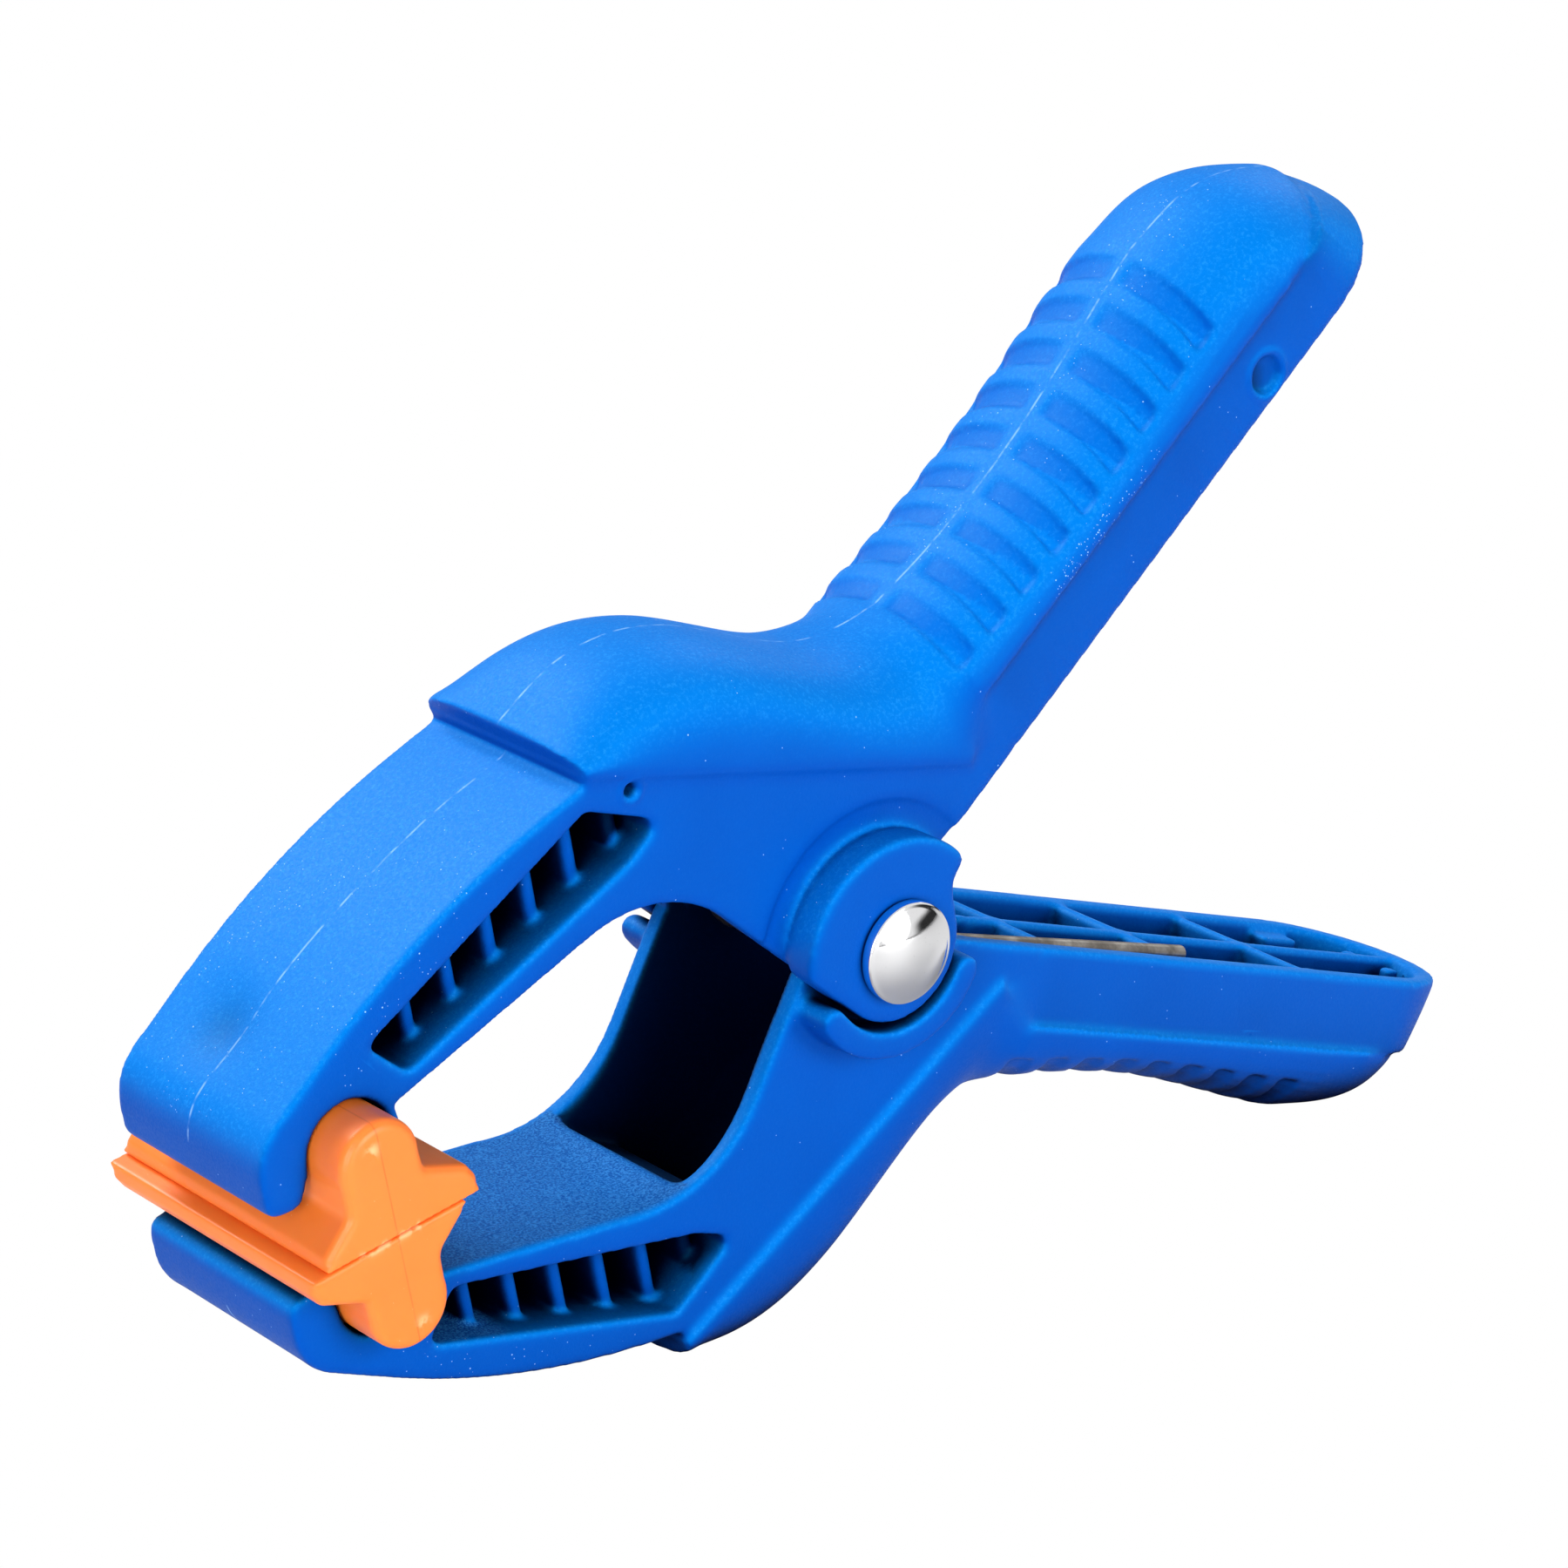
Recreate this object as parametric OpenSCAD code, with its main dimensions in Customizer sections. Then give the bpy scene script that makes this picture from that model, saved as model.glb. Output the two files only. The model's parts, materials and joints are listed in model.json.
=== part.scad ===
// Spring clamp for light gluing and model work.
// Two moulded arms turn on a riveted pin, a torsion spring holds the jaws
// closed, and a soft pad swivels in the tip of each jaw.
//
// The arms are drawn in the side view (x along the closed jaws towards the
// handles, z upwards) round the hinge pin, and extruded across y.  The lower
// arm is the upper arm's outline turned over.  Handle shapes use s, the
// distance along the handle's rim, and h, the height above that rim.

/* [Arms] */
// Width of both arms across the jaws
arm_w = 26; // [25:0.5:27]
// Thickness of the side walls
wall = 2.5; // [2.2:0.1:2.8]
// Thickness of the grip's roof
skin = 2.8; // [2.4:0.1:3.2]
// How far the grip stands proud of the side walls
grip_proud = 0.7; // [0.5:0.1:1.2]

/* [Jaws] */
// Distance from the hinge pin to the jaw's tip
jaw_len = 79; // [77:0.5:82]
// Thickness of the web that joins the two flanges of a jaw
web_t = 2; // [1.6:0.2:3]
// Number of ribs in each side window
post_count = 6; // [4:1:6]
// Distance between the ribs of a window
post_pitch = 5.65; // [4.8:0.05:5.7]
// Thickness of those ribs
post_t = 1.8; // [1.4:0.2:2.4]
// Depth of those ribs below the jaw's side face
post_recess = 3.9; // [3:0.1:7]

/* [Handles] */
// Angle of each handle's rim to the jaws' centre plane
rim_angle = 29.7; // [28:0.1:31]
// Distance from the hinge pin to the handle's end
handle_len = 102.8; // [100:0.1:112]
// Height of the plain flange below the grip
flange_h = 9.1; // [8.5:0.1:10]
// Number of finger grooves on each side of a grip
groove_count = 9; // [6:1:9]
// Distance between the finger grooves
groove_pitch = 5.65; // [5:0.05:5.8]
// Width of a finger groove
groove_w = 3.3; // [2.4:0.1:3.8]
// Depth of a finger groove
groove_depth = 1.2; // [0.6:0.1:1.4]
// Number of cross ribs inside a handle
rib_count = 3; // [2:1:3]
// Distance between the cross ribs
rib_pitch = 21; // [18:0.5:22]
// Thickness of the ribs inside a handle
rib_t = 1.6; // [1.2:0.1:2.2]

/* [Hinge] */
// Radius of the pin's shank
pin_r = 3; // [2.6:0.1:3.2]
// Radius of the pin's head and of its cap
cap_r = 5.75; // [5.3:0.05:6.2]
// Height of the head's straight edge
cap_edge = 1.3; // [1:0.1:1.6]
// Height of the head's dome above that edge
cap_dome = 1.6; // [1.2:0.1:2.2]
// Radius of the upper arm's round ears
ear_r = 12.45; // [11.8:0.05:12.8]
// Thickness of the upper arm's ears
ear_t = 4.2; // [3.6:0.1:4.8]
// Running clearance of the pin in the lower arm
lower_fit = 0.03; // [0.02:0.01:0.05]
// Running clearance of the pin in the upper arm
upper_fit = 0.06; // [0.03:0.01:0.1]
// Sideways gap between the ears of the two arms
ear_gap = 0.3; // [0.2:0.05:0.5]

/* [Pads] */
// Length of the pads across the jaws
pad_len = 37; // [33:0.5:40]
// Radius of the pad's swivel bead
bead_r = 4.8; // [4.4:0.1:5]
// Clearance of the bead in its socket
bead_gap = 0.3; // [0.2:0.05:0.4]
// Distance along the jaw from its tip back to the bead
bead_back = 10.8; // [10:0.1:11.5]
// Height of the bead above the jaws' centre plane
bead_z = 8.4; // [8.2:0.1:8.8]
// Gap between the two pads when the jaws are closed
face_gap = 0.2; // [0.1:0.05:0.4]

/* [Spring] */
// Radius of the spring wire
wire_r = 1; // [0.8:0.05:1.1]
// Radius of the coil at the middle of the wire
coil_r = 4.6; // [4.4:0.05:5.2]
// Whole turns in the coil
coil_turns = 6; // [4:1:6]
// Where the spring's legs end along the handles
leg_end = 55; // [54:0.5:60]

/* [Hidden] */

half_w = arm_w/2;
inner_w = half_w - wall;
grip_w = half_w + grip_proud;
eps = 0.01;
arc_step = 6;         // largest angle of a facet on a rounded corner

// ---- helpers: outlines with rounded corners, smooth curves, skins ----
function unit(v) = v/norm(v);
function polar(r, a) = [r*cos(a), r*sin(a)];
function arc(r, a, b, n) = [for (i = [0:n]) polar(r, a + (b - a)*i/n)];

// The corner at q, between p and r, rounded with the radius q[2]
function corner(p, q, r) =
    let (at = [q.x, q.y],
         to_p = unit([p.x, p.y] - at),
         to_r = unit([r.x, r.y] - at),
         half = acos(to_p*to_r)/2,
         mid = at + unit(to_p + to_r)*q[2]/sin(half),
         first = at + to_p*q[2]/tan(half) - mid,
         last = at + to_r*q[2]/tan(half) - mid,
         a = atan2(first.y, first.x),
         turn = atan2(first.x*last.y - first.y*last.x, first*last),
         n = max(2, ceil(abs(turn)/arc_step)))
    q[2] == 0 ? [at] : [for (i = [0:n]) mid + polar(q[2], a + turn*i/n)];

// An outline from corners [x, y, radius]
function rounded(c) =
    [for (i = [0:len(c) - 1])
        each corner(c[(i + len(c) - 1) % len(c)], c[i], c[(i + 1) % len(c)])];

// A smooth curve through the points of a table, read at x
function slope(t, i) =
    let (a = t[max(i - 1, 0)], b = t[min(i + 1, len(t) - 1)]) (b.y - a.y)/(b.x - a.x);
function span_of(t, x, i = 0) = i >= len(t) - 2 || x <= t[i + 1].x ? i : span_of(t, x, i + 1);
function curve(t, x) =
    let (i = span_of(t, x),
         w = t[i + 1].x - t[i].x,
         k = (x - t[i].x)/w)
    (2*pow(k, 3) - 3*k*k + 1)*t[i].y + (pow(k, 3) - 2*k*k + k)*w*slope(t, i)
    + (3*k*k - 2*pow(k, 3))*t[i + 1].y + (pow(k, 3) - k*k)*w*slope(t, i + 1);

// A closed skin over rings of points, with a flat face at each end
module skin_over(rings) {
    n = len(rings[0]);
    last = len(rings) - 1;
    polyhedron(
        points = [for (r = rings) each r],
        faces = concat(
            [[for (i = [0:n - 1]) i]],
            [for (k = [0:last - 1]) for (i = [0:n - 1]) each let (j = (i + 1) % n)
                [[k*n + i, (k + 1)*n + i, (k + 1)*n + j], [k*n + i, (k + 1)*n + j, k*n + j]]],
            [[for (i = [n - 1:-1:0]) last*n + i]]));
}

// The side view's children, extruded across y from a to b
module across(a, b) translate([0, b, 0]) rotate([90, 0, 0]) linear_extrude(b - a) children();

// The children and their mirror image on the far side
module both_sides() {
    children();
    mirror([0, 1, 0]) children();
}

// ---- side view of an arm ----
along_handle = polar(1, rim_angle);
up_handle = polar(1, rim_angle + 90);
rim_drop = 0.7;       // the rim's line passes this far below the pin
handle_from = 24;     // the handle's straight flange begins here
function on_handle(s, h) = s*along_handle + h*up_handle - [0, rim_drop];

// Line along which the grip steps out of the side wall, from the shoulder to
// the foot of the handle
step_a = [-33, 34.4];
step_b = [16.5, 13.7];
function on_step(k) = step_a + (step_b - step_a)*k;
step_over = 0.8;      // how far the side wall runs up inside the grip

// Crown of the shoulder: [x, z] at mid-width
shoulder_crown = [
    [-33.8, 37], [-27, 40.2], [-19.5, 41.1], [-12, 39.2],
    [-5.8, 35.8], [0, 32.2], [4.7, 29.8], [9.5, 28.8], [12.3, 28.8]];
// Crown of the handle: [s, h] at mid-width
grip_s = 28.5;        // where the handle's grip begins
grip_end = handle_len - 4;
handle_crown = [
    [grip_s, 17.9], [grip_s + 9, 16.6], [grip_s + 21, 16], [grip_s + 33, 16.9],
    [grip_s + 45, 18.5], [grip_s + 51, 19.1], [grip_end - 11, 18.2], [grip_end - 5.5, 15.6],
    [grip_end, 10.5]];

// Places in the front of the jaw are set out from its tip
function from_tip(x, z) = [x - jaw_len, z];
bend = from_tip(24.1, 28.3);
bead_x = jaw_len - bead_back;

// The throat between the jaws' inner edge and the pin
jaw_inner = from_tip(17.2, 10.4);
throat = [-25.2, 19.45];
throat_r = 17;
hinge_edge = [-9.9, 0.3];

socket_r = bead_r + bead_gap;
bead = [-bead_x, bead_z];
lip_z = 4.9;          // lowest edge of the jaw's outer lip

side_outline = rounded([
    [-jaw_len, lip_z, 1.8],
    [-jaw_len, 12.8, 7],
    [bend.x, bend.y, 100],
    [-32.9, 33.5, 0.4],
    [step_a.x - 0.7, step_a.y + step_over, 0.3],
    [step_b.x, step_b.y + step_over, 0],
    [on_handle(handle_from, flange_h).x, on_handle(handle_from, flange_h).y, 0],
    [on_handle(handle_from, 0).x, on_handle(handle_from, 0).y, 0],
    [on_handle(9.5, 0).x, on_handle(9.5, 0).y, 0],
    [0, hinge_edge.y, 0],
    [hinge_edge.x, hinge_edge.y, 0.4],
    [throat.x, throat.y, throat_r],
    [jaw_inner.x, jaw_inner.y, 1],
    [bead.x + socket_r - 0.6, bead.y + 3.3, 0.4],
    [bead.x, bead.y + 1, 0],
    [bead.x - socket_r - 0.2, bead.y - 0.8, 0.5],
    [bead.x - socket_r - 1.6, lip_z, 1.4]]);

// Side window, between the jaw's outer and inner flange
window_low = from_tip(19.2, 13);
window_tip = from_tip(15.1, 17.9);
window_high = [-29, 22.9];
window_outline = rounded([
    [window_low.x, window_low.y, 1.2],
    [window_high.x, window_high.y, 3],
    [-24.4, 25.6, 1.2],
    [-33.4, 30.6, 0.6],
    [window_tip.x, window_tip.y, 0.9]]);
first_post = 3.5;     // from the window's tip to its first rib

// Inside of the shoulder, open towards the other arm
cell_x = -22.2;
hollow_outline = [
    [-31.6, 8], [-29.1, throat.y - 2.3], [-26.8, 20.9], [cell_x + 0.3, 24.2], [cell_x, 30.3],
    [step_b.x, step_b.y + 0.3], on_handle(grip_s, flange_h + 0.3), on_handle(grip_s, -3),
    [10, -14], [-25, -14]];

// ---- the grip ----
arch_power = 3.2;     // squareness of the shoulder's cross-section, at its front
saddle_power = 2.35;  // and where it passes into the handle
grip_power = 2.4;     // squareness of the handle's
dome_power = 2.1;     // squareness of the dome's
arch_angles = [0, 8, 16, 24, 25, 34, 44, 54, 64, 74, 82, 86.5, 87, 90];
groove_low = 25;      // a groove runs between these angles of the arch
groove_high = 86.5;

function bulge(a, p) = pow(max(a, 0), 2/p);

// One point of a cross-section, at angle a of the arch over the foot
function arch_point(crown, foot, w, p, a, sunk = 0) =
    let (rise = (crown - foot)*bulge(sin(a), p) - unit(crown - foot)*sunk*sin(a))
    [foot.x + rise.x, w*bulge(cos(a), p) - sunk*cos(a), foot.y + rise.y];
function mirrored(half) =
    concat(half, [for (i = [len(half) - 2:-1:0]) [half[i].x, -half[i].y, half[i].z]]);

// Points of one cross-section, from the far side over the crown to the near side
function arch(crown, foot, w, p, angles) =
    mirrored([for (a = angles) arch_point(crown, foot, w, p, a)]);

// A cross-section of the grooved grip: its sides trail behind its crown, and a
// groove gets deeper towards the sides
function grooved(s, depth) =
    mirrored([for (a = arch_angles)
        let (down = 1 - max(0, a - groove_low)/(90 - groove_low),
             t = s + groove_lead - (groove_lead + groove_trail)*pow(down, 1.3),
             sunk = a >= groove_low && a <= groove_high ? depth*(0.3 + 0.7*down) : 0)
        arch_point(crown_at(t), on_handle(t, flange_h), grip_half(t, grip_w), power_at(t), a, sunk)]);

// Half width of the grip along the handle, which closes in an ellipse
round_s = grip_end - 14.5;
function grip_half(s, w) =
    s <= round_s ? w : w*sqrt(max(1 - pow((s - round_s)/(grip_end + 0.2 - round_s), 2), 0));
// Past the straight sides the dome stands on the flange's end and sinks into it
function foot_h(s) = s > round_s + 6 ? flange_h - 0.8 : flange_h;
function power_at(s) =
    grip_power + (dome_power - grip_power)*max(0, min(1, (s - grip_s - 40)/15));

shoulder_steps = 12;
function shoulder_power(k) = arch_power + (saddle_power - arch_power)*k;
function shoulder_at(k) =
    let (x = shoulder_crown[0].x + k*(shoulder_crown[len(shoulder_crown) - 1].x - shoulder_crown[0].x))
    [x, curve(shoulder_crown, x)];
function crown_at(s) = on_handle(s, curve(handle_crown, s));

groove_edge = 0.35;   // length of the step at each side of a groove
groove_lead = 0.5;    // at the crown a groove lies this far ahead
groove_trail = 1.9;   // and at its lower end this far behind
function groove_s(i) = grip_s + 0.4 + i*groove_pitch;
dome_steps = 9;
dome_from = groove_s(groove_count - 1) + groove_w + groove_lead + 1;
grip_rings = concat(
    [for (i = [0:shoulder_steps]) let (k = i/shoulder_steps)
        arch(shoulder_at(k), on_step(k), grip_w, shoulder_power(k), arch_angles)],
    [for (i = [0:groove_count - 1])
        for (e = [[0, 0], [groove_edge, 1], [groove_w - groove_edge, 0.6], [groove_w, 0]])
            grooved(groove_s(i) + e[0], groove_depth*e[1])],
    [for (i = [0:dome_steps])
        let (s = dome_from + (grip_end - dome_from)*sin(90*i/dome_steps))
        arch(crown_at(s), on_handle(s, foot_h(s)), grip_half(s, grip_w), power_at(s), arch_angles)]);

// Inside of the grip, one skin thickness in
cave_angles = [0, 20, 40, 60, 75, 90];
cave_end = grip_end - 7;
cave_from = 0.24;     // it begins this far along the shoulder
cave_rings = concat(
    [for (i = [0:4]) let (k = cave_from + (1 - cave_from)*i/4, c = shoulder_at(k), f = on_step(k))
        arch(c - skin*unit(c - f), f - [0, 0.4], inner_w, shoulder_power(k), cave_angles)],
    [for (i = [0:8]) let (s = grip_s + 1 + (cave_end - grip_s - 1)*i/8)
        arch(crown_at(s) - skin*up_handle, on_handle(s, flange_h - 0.6),
            min(inner_w, grip_half(s, grip_w) - skin), power_at(s), cave_angles)]);

// ---- the handle's flange and its end ----
end_s = handle_len - half_w;
end_lean = 3.8;       // how far the end leans back over the flange's height
module end_body(w, shrink, low, high, start) {
    levels = 5;
    skin_over([for (k = [0:levels])
        let (h = low + (high - low)*k/levels,
             lean = end_lean*pow(max(h, 0)/flange_h, 1.4),
             n = 22)
        [for (q = concat([[start, -w]], [for (i = [0:n]) let (a = -90 + 180*i/n)
                [end_s + (half_w - shrink - lean)*cos(a), w*sin(a)]], [[start, w]]))
            let (c = on_handle(q.x, h)) [c.x, q.y, c.y]]]);
}

// A bar along the handle: s from a to b, h from c to d, half-width w
module bar(a, b, c, d, w) {
    across(-w, w)
        polygon([on_handle(a, c), on_handle(b, c), on_handle(b, d), on_handle(a, d)]);
}

// ---- the hinge ----
disc_y = half_w + ear_gap + ear_t;
shelf_r = 9.5;        // the lower arm's ear, inside the upper arm's
shelf_gap = 0.4;
ear_low_r = 8.4;      // underside of the upper arm's ear
guard_gap = 1;        // between that underside and the lower arm's guard rib
guard_w = 3.1;
guard_r = ear_low_r + guard_gap;
flat_angle = 219;     // the ear's flat edge leaves its round underside here
flat_len = sqrt(ear_r*ear_r - ear_low_r*ear_low_r);
flat_end = polar(ear_low_r, flat_angle) + flat_len*polar(1, flat_angle - 90);
ear_stop = 34;        // the ear's corner, which meets the guard rib fully open
moat_w = 3;
moat_depth = 0.6;
ring_scale = 0.975;   // the ring behind the ear is this much smaller

ear_outline = concat(
    arc(ear_r, atan2(flat_end.y, flat_end.x), ear_stop, 28),
    [polar(ear_r - 0.5, ear_stop - 4), polar(ear_low_r + 1.1, 26), [ear_low_r, 2.6]],
    arc(ear_low_r, 0, flat_angle - 360, 24));

module pin_bore(fit) rotate([90, 0, 0]) cylinder(r = pin_r + fit, h = 3*arm_w, center = true, $fn = 48);
module disc(r, a, b) across(a, b) circle(r = r, $fn = 96);

// ---- an arm without its hinge ----
// One rib of a side window, upright with a round outer edge
module post(i) {
    post_y = half_w - post_recess - post_t/2;
    translate([window_low.x + first_post + i*post_pitch, 0, 0]) {
        translate([-post_t/2, 0, 0]) cube([post_t, post_y, jaw_len/2]);
        translate([0, post_y, 0]) cylinder(r = post_t/2, h = jaw_len/2, $fn = 24);
    }
}

module window() {
    difference() {
        across(web_t/2, half_w + 1) polygon(window_outline);
        for (i = [0:post_count - 1]) post(i);
    }
}

first_rib = 31.5;     // first cross rib inside the handle
rib_top = 0.3;        // the ribs stop this far short of the rim
rib_reach = 30;       // and run past the grip's roof
wire_h = rib_top + wire_r + 0.1;
wire_y = inner_w - wire_r - 0.3;
leg_side = [-1, 1];   // the lower arm holds the near leg, the upper the far one

module handle_ribs(side) {
    difference() {
        union() {
            bar(grip_s - 4, handle_len, rib_top, rib_reach, rib_t/2);
            for (i = [0:rib_count - 1])
                bar(first_rib + i*rib_pitch - rib_t/2, first_rib + i*rib_pitch + rib_t/2,
                    rib_top, rib_reach, half_w);
        }
        // notch that carries the spring's leg
        translate([0, side*wire_y, 0])
            bar(0, leg_end + 1, -1, wire_h + wire_r + 0.1, wire_r + 0.3);
    }
}

module hollow(side) {
    difference() {
        union() {
            across(-inner_w, inner_w) polygon(hollow_outline);
            bar(grip_s - 4, end_s - 2, -1, flange_h + 0.3, inner_w);
            end_body(inner_w, wall, -1, flange_h - skin + 0.4, end_s - 8);
            skin_over(cave_rings);
        }
        handle_ribs(side);
    }
}

// The hook that closes the bead's socket behind the pad
hook_t = 1.2;
hook_angle = -38;
module hook() {
    across(-half_w, half_w) translate(bead)
        polygon(concat(arc(socket_r + hook_t, hook_angle, 50, 16), arc(socket_r, 50, hook_angle, 16)));
}

module arm(side) {
    difference() {
        union() {
            across(-half_w, half_w) polygon(side_outline);
            bar(handle_from - 2, end_s - 2, 0, flange_h + 0.5, half_w);
            end_body(half_w, 0, 0, flange_h, end_s - 3);
            skin_over(grip_rings);
            hook();
        }
        hollow(side);
        both_sides() window();
        across(-half_w - 1, half_w + 1) translate(bead) circle(r = socket_r, $fn = 72);
    }
}

module upper_arm_shape() {
    difference() {
        union() {
            difference() {
                arm(leg_side[1]);
                // shallow groove round the ears
                both_sides() difference() {
                    disc(ear_r + moat_w, half_w - moat_depth, half_w + 1);
                    disc(ear_r - 1, half_w - moat_depth - 1, half_w + 2);
                }
            }
            both_sides() {
                across(half_w + ear_gap, disc_y) polygon(ear_outline);
                // the ring that carries the ear on the side wall
                across(inner_w, half_w + ear_gap + 0.4) intersection() {
                    polygon(side_outline);
                    scale(ring_scale) polygon(ear_outline);
                }
            }
        }
        both_sides() disc(shelf_r + shelf_gap, -eps, half_w + ear_gap);
        pin_bore(upper_fit);
        // moulded marks: a dimple in the flange and a pin hole at the shoulder
        across(-half_w - 1, -half_w + 0.8) translate([65.4, 40.5]) circle(r = 2.2, $fn = 36);
        across(-half_w - 1, -half_w + 1.6) translate([-27.6, 30.6]) circle(r = 0.8, $fn = 24);
    }
}

guard_from = 195;     // the guard rib's ends
guard_to = 330;
module lower_arm_shape() {
    difference() {
        union() {
            mirror([0, 0, 1]) arm(leg_side[0]);
            both_sides() {
                disc(shelf_r, inner_w, half_w);
                across(inner_w, disc_y + 0.2) guard_rib();
            }
        }
        pin_bore(lower_fit);
    }
}

// Its outline is an arc with round ends
module guard_rib() {
    mid = guard_r + guard_w/2;
    end = asin(guard_w/2/mid);
    from = guard_from + end;
    to = guard_to - end;
    function round_end(at, a) = [for (q = arc(guard_w/2, a, a + 180, 8)) polar(mid, at) + q];
    polygon(concat(
        arc(guard_r + guard_w, from + 1, to - 1, 24), round_end(to, to),
        arc(guard_r, to - 1, from + 1, 24), round_end(from, from + 180)));
}

// ---- pads ----
pad_half = pad_len/2;
face_z = face_gap/2 - bead_z;     // the pad's flat face, below its bead
pad_outline = rounded([
    [-8.8, face_z, 0.3],
    [-8.3, face_z + 1.4, 1],
    [-bead_r, face_z + 4.4, 1.8],
    [-bead_r + 0.1, 0, 0],
    [bead_r - 0.1, 0, 0],
    [bead_r + 0.1, face_z + 5.5, 0.6],
    [9.8, face_z + 3.2, 1],
    [10.7, face_z + 1.5, 0.6],
    [10.5, face_z, 0.3]]);
neck_gap = 0.4;       // room for the jaw inside the pad's two end blocks

// Between its end blocks the pad is cut back to a narrow neck behind the bead,
// which leaves the jaw's hook room to pass under it as the pad swivels.  The
// lower pad lies the other way round, so its neck is on the shorter wing's side.
neck_from = -68;
neck_to = 12;
neck_r = socket_r + hook_t + 0.5;
mid_half = half_w + neck_gap;

module pad_shape(hook_side) {
    both_sides() across(mid_half - eps, pad_half) {
        polygon(pad_outline);
        circle(r = bead_r, $fn = 72);
    }
    across(-mid_half, mid_half) {
        difference() {
            polygon(pad_outline);
            scale([hook_side, 1]) polygon(concat([[0, 0]], arc(neck_r, neck_from, neck_to, 16)));
        }
        circle(r = bead_r, $fn = 72);
    }
}

// ---- the torsion spring ----
// Angle, seen from the coil's axis, at which a leg leaves the coil
knee = on_handle(11, wire_h);
knee_dist = norm(knee);
leave = atan2(knee.y, knee.x) + acos(coil_r/knee_dist);
coil_sweep = 360*coil_turns + 360 - 2*leave;
rings_a_turn = 8;
wire_sides = 6;
coil_n = ceil(coil_sweep/360*rings_a_turn);
pitch = 2*wire_y/(coil_sweep/360);

function leg_point(p, y, turned) = [p.x, y, turned*p.y];
coil_path = [for (i = [0:coil_n]) let (a = -leave - coil_sweep*i/coil_n)
    [coil_r*cos(a), -wire_y + 2*wire_y*i/coil_n, coil_r*sin(a)]];
knee_round = rounded([
    [on_handle(leg_end, wire_h).x, on_handle(leg_end, wire_h).y, 0],
    [knee.x, knee.y, 4],
    [polar(coil_r, leave).x, polar(coil_r, leave).y, 0]]);
leg_path = [for (i = [0:len(knee_round) - 2]) knee_round[i]];
spring_path = concat(
    [for (p = leg_path) leg_point(p, -wire_y, -1)],
    coil_path,
    [for (i = [len(leg_path) - 1:-1:0]) leg_point(leg_path[i], wire_y, 1)]);

function heading(p, i) = unit(p[min(i + 1, len(p) - 1)] - p[max(i - 1, 0)]);
function wire_ring(p, i) =
    let (t = heading(p, i),
         a = unit([0, 1, 0] - t*t.y),
         b = cross(t, a))
    [for (k = [0:wire_sides - 1]) p[i] + wire_r*(cos(360*k/wire_sides)*a + sin(360*k/wire_sides)*b)];

// Least gap of the wire to itself: between points at least half a turn apart
coil_gap = min([for (i = [0:coil_n]) for (j = [i + rings_a_turn/2:1:coil_n])
    norm(coil_path[i] - coil_path[j])]) - 2*wire_r;
echo(least_gap_of_the_spring = coil_gap);

// ---- the pin ----
shank_end = disc_y + 0.1;
module dome_cap(bore) {
    sphere_r = (cap_r*cap_r + cap_dome*cap_dome)/(2*cap_dome);
    difference() {
        union() {
            cylinder(r = cap_r, h = cap_edge + eps, $fn = 72);
            intersection() {
                translate([0, 0, cap_edge]) cylinder(r = cap_r, h = 2*cap_dome, $fn = 72);
                translate([0, 0, cap_edge + cap_dome - sphere_r]) sphere(r = sphere_r, $fn = 96);
            }
        }
        if (bore > 0) translate([0, 0, -1]) cylinder(r = bore, h = cap_edge + 1, $fn = 48);
    }
}

// ---- how the closed clamp lies on a bench ----
// It rests on the lower arm's shoulder and on the dome of its handle.
ridge = [for (r = grip_rings) let (q = r[len(arch_angles) - 1]) [q.x, -q.z]];
low_shoulder = [for (p = ridge) if (p.x < step_b.x) p];
low_dome = [for (p = ridge) if (p.x > step_b.x) p];
function angle_to(p, q) = atan2(q.y - p.y, q.x - p.x);
lean = -max([for (p = low_shoulder) min([for (q = low_dome) angle_to(p, q)])]);
function leaned(p) = [p.x*cos(lean) - p.y*sin(lean), p.x*sin(lean) + p.y*cos(lean)];
lift = -min([for (p = concat(low_shoulder, low_dome)) leaned(p).y]);
tail = on_handle(handle_len, 0);
back_x = max(leaned([tail.x, -tail.y]).x, leaned(tail).x);
front_x = min([for (p = side_outline) min(leaned(p).x, leaned([p.x, -p.y]).x)]);
slide_x = -(front_x + back_x)/2;

module on_bench() translate([slide_x, 0, lift]) rotate([0, -lean, 0]) children();

// ---- the pieces ----
module lower_arm() color("royalblue") on_bench() lower_arm_shape();
module upper_arm() color("dodgerblue") on_bench() upper_arm_shape();
module upper_pad() color("darkorange") on_bench() translate([bead.x, 0, bead.y]) pad_shape(1);
module lower_pad() color("orange") on_bench()
    translate([bead.x, 0, -bead.y]) rotate([0, 180, 0]) pad_shape(-1);
module torsion_spring() color("dimgray") on_bench()
    skin_over([for (i = [0:len(spring_path) - 1]) wire_ring(spring_path, i)]);
module pivot_pin() color("silver") on_bench() {
    translate([0, -shank_end, 0]) rotate([90, 0, 0]) dome_cap(0);
    translate([0, -shank_end - eps, 0]) rotate([-90, 0, 0])
        cylinder(r = pin_r, h = 2*shank_end + cap_edge - 0.1, $fn = 48);
}
module pin_cap() color("silver") on_bench()
    translate([0, shank_end, 0]) rotate([-90, 0, 0]) dome_cap(pin_r + 0.02);

lower_arm();
upper_arm();
lower_pad();
upper_pad();
torsion_spring();
pivot_pin();
pin_cap();
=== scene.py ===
"""Spring clamp: the finished look of the CAD model, in its own frame, in metres."""

import json
import math

import bmesh
import bpy
import numpy as np
from mathutils import Matrix, Vector


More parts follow.
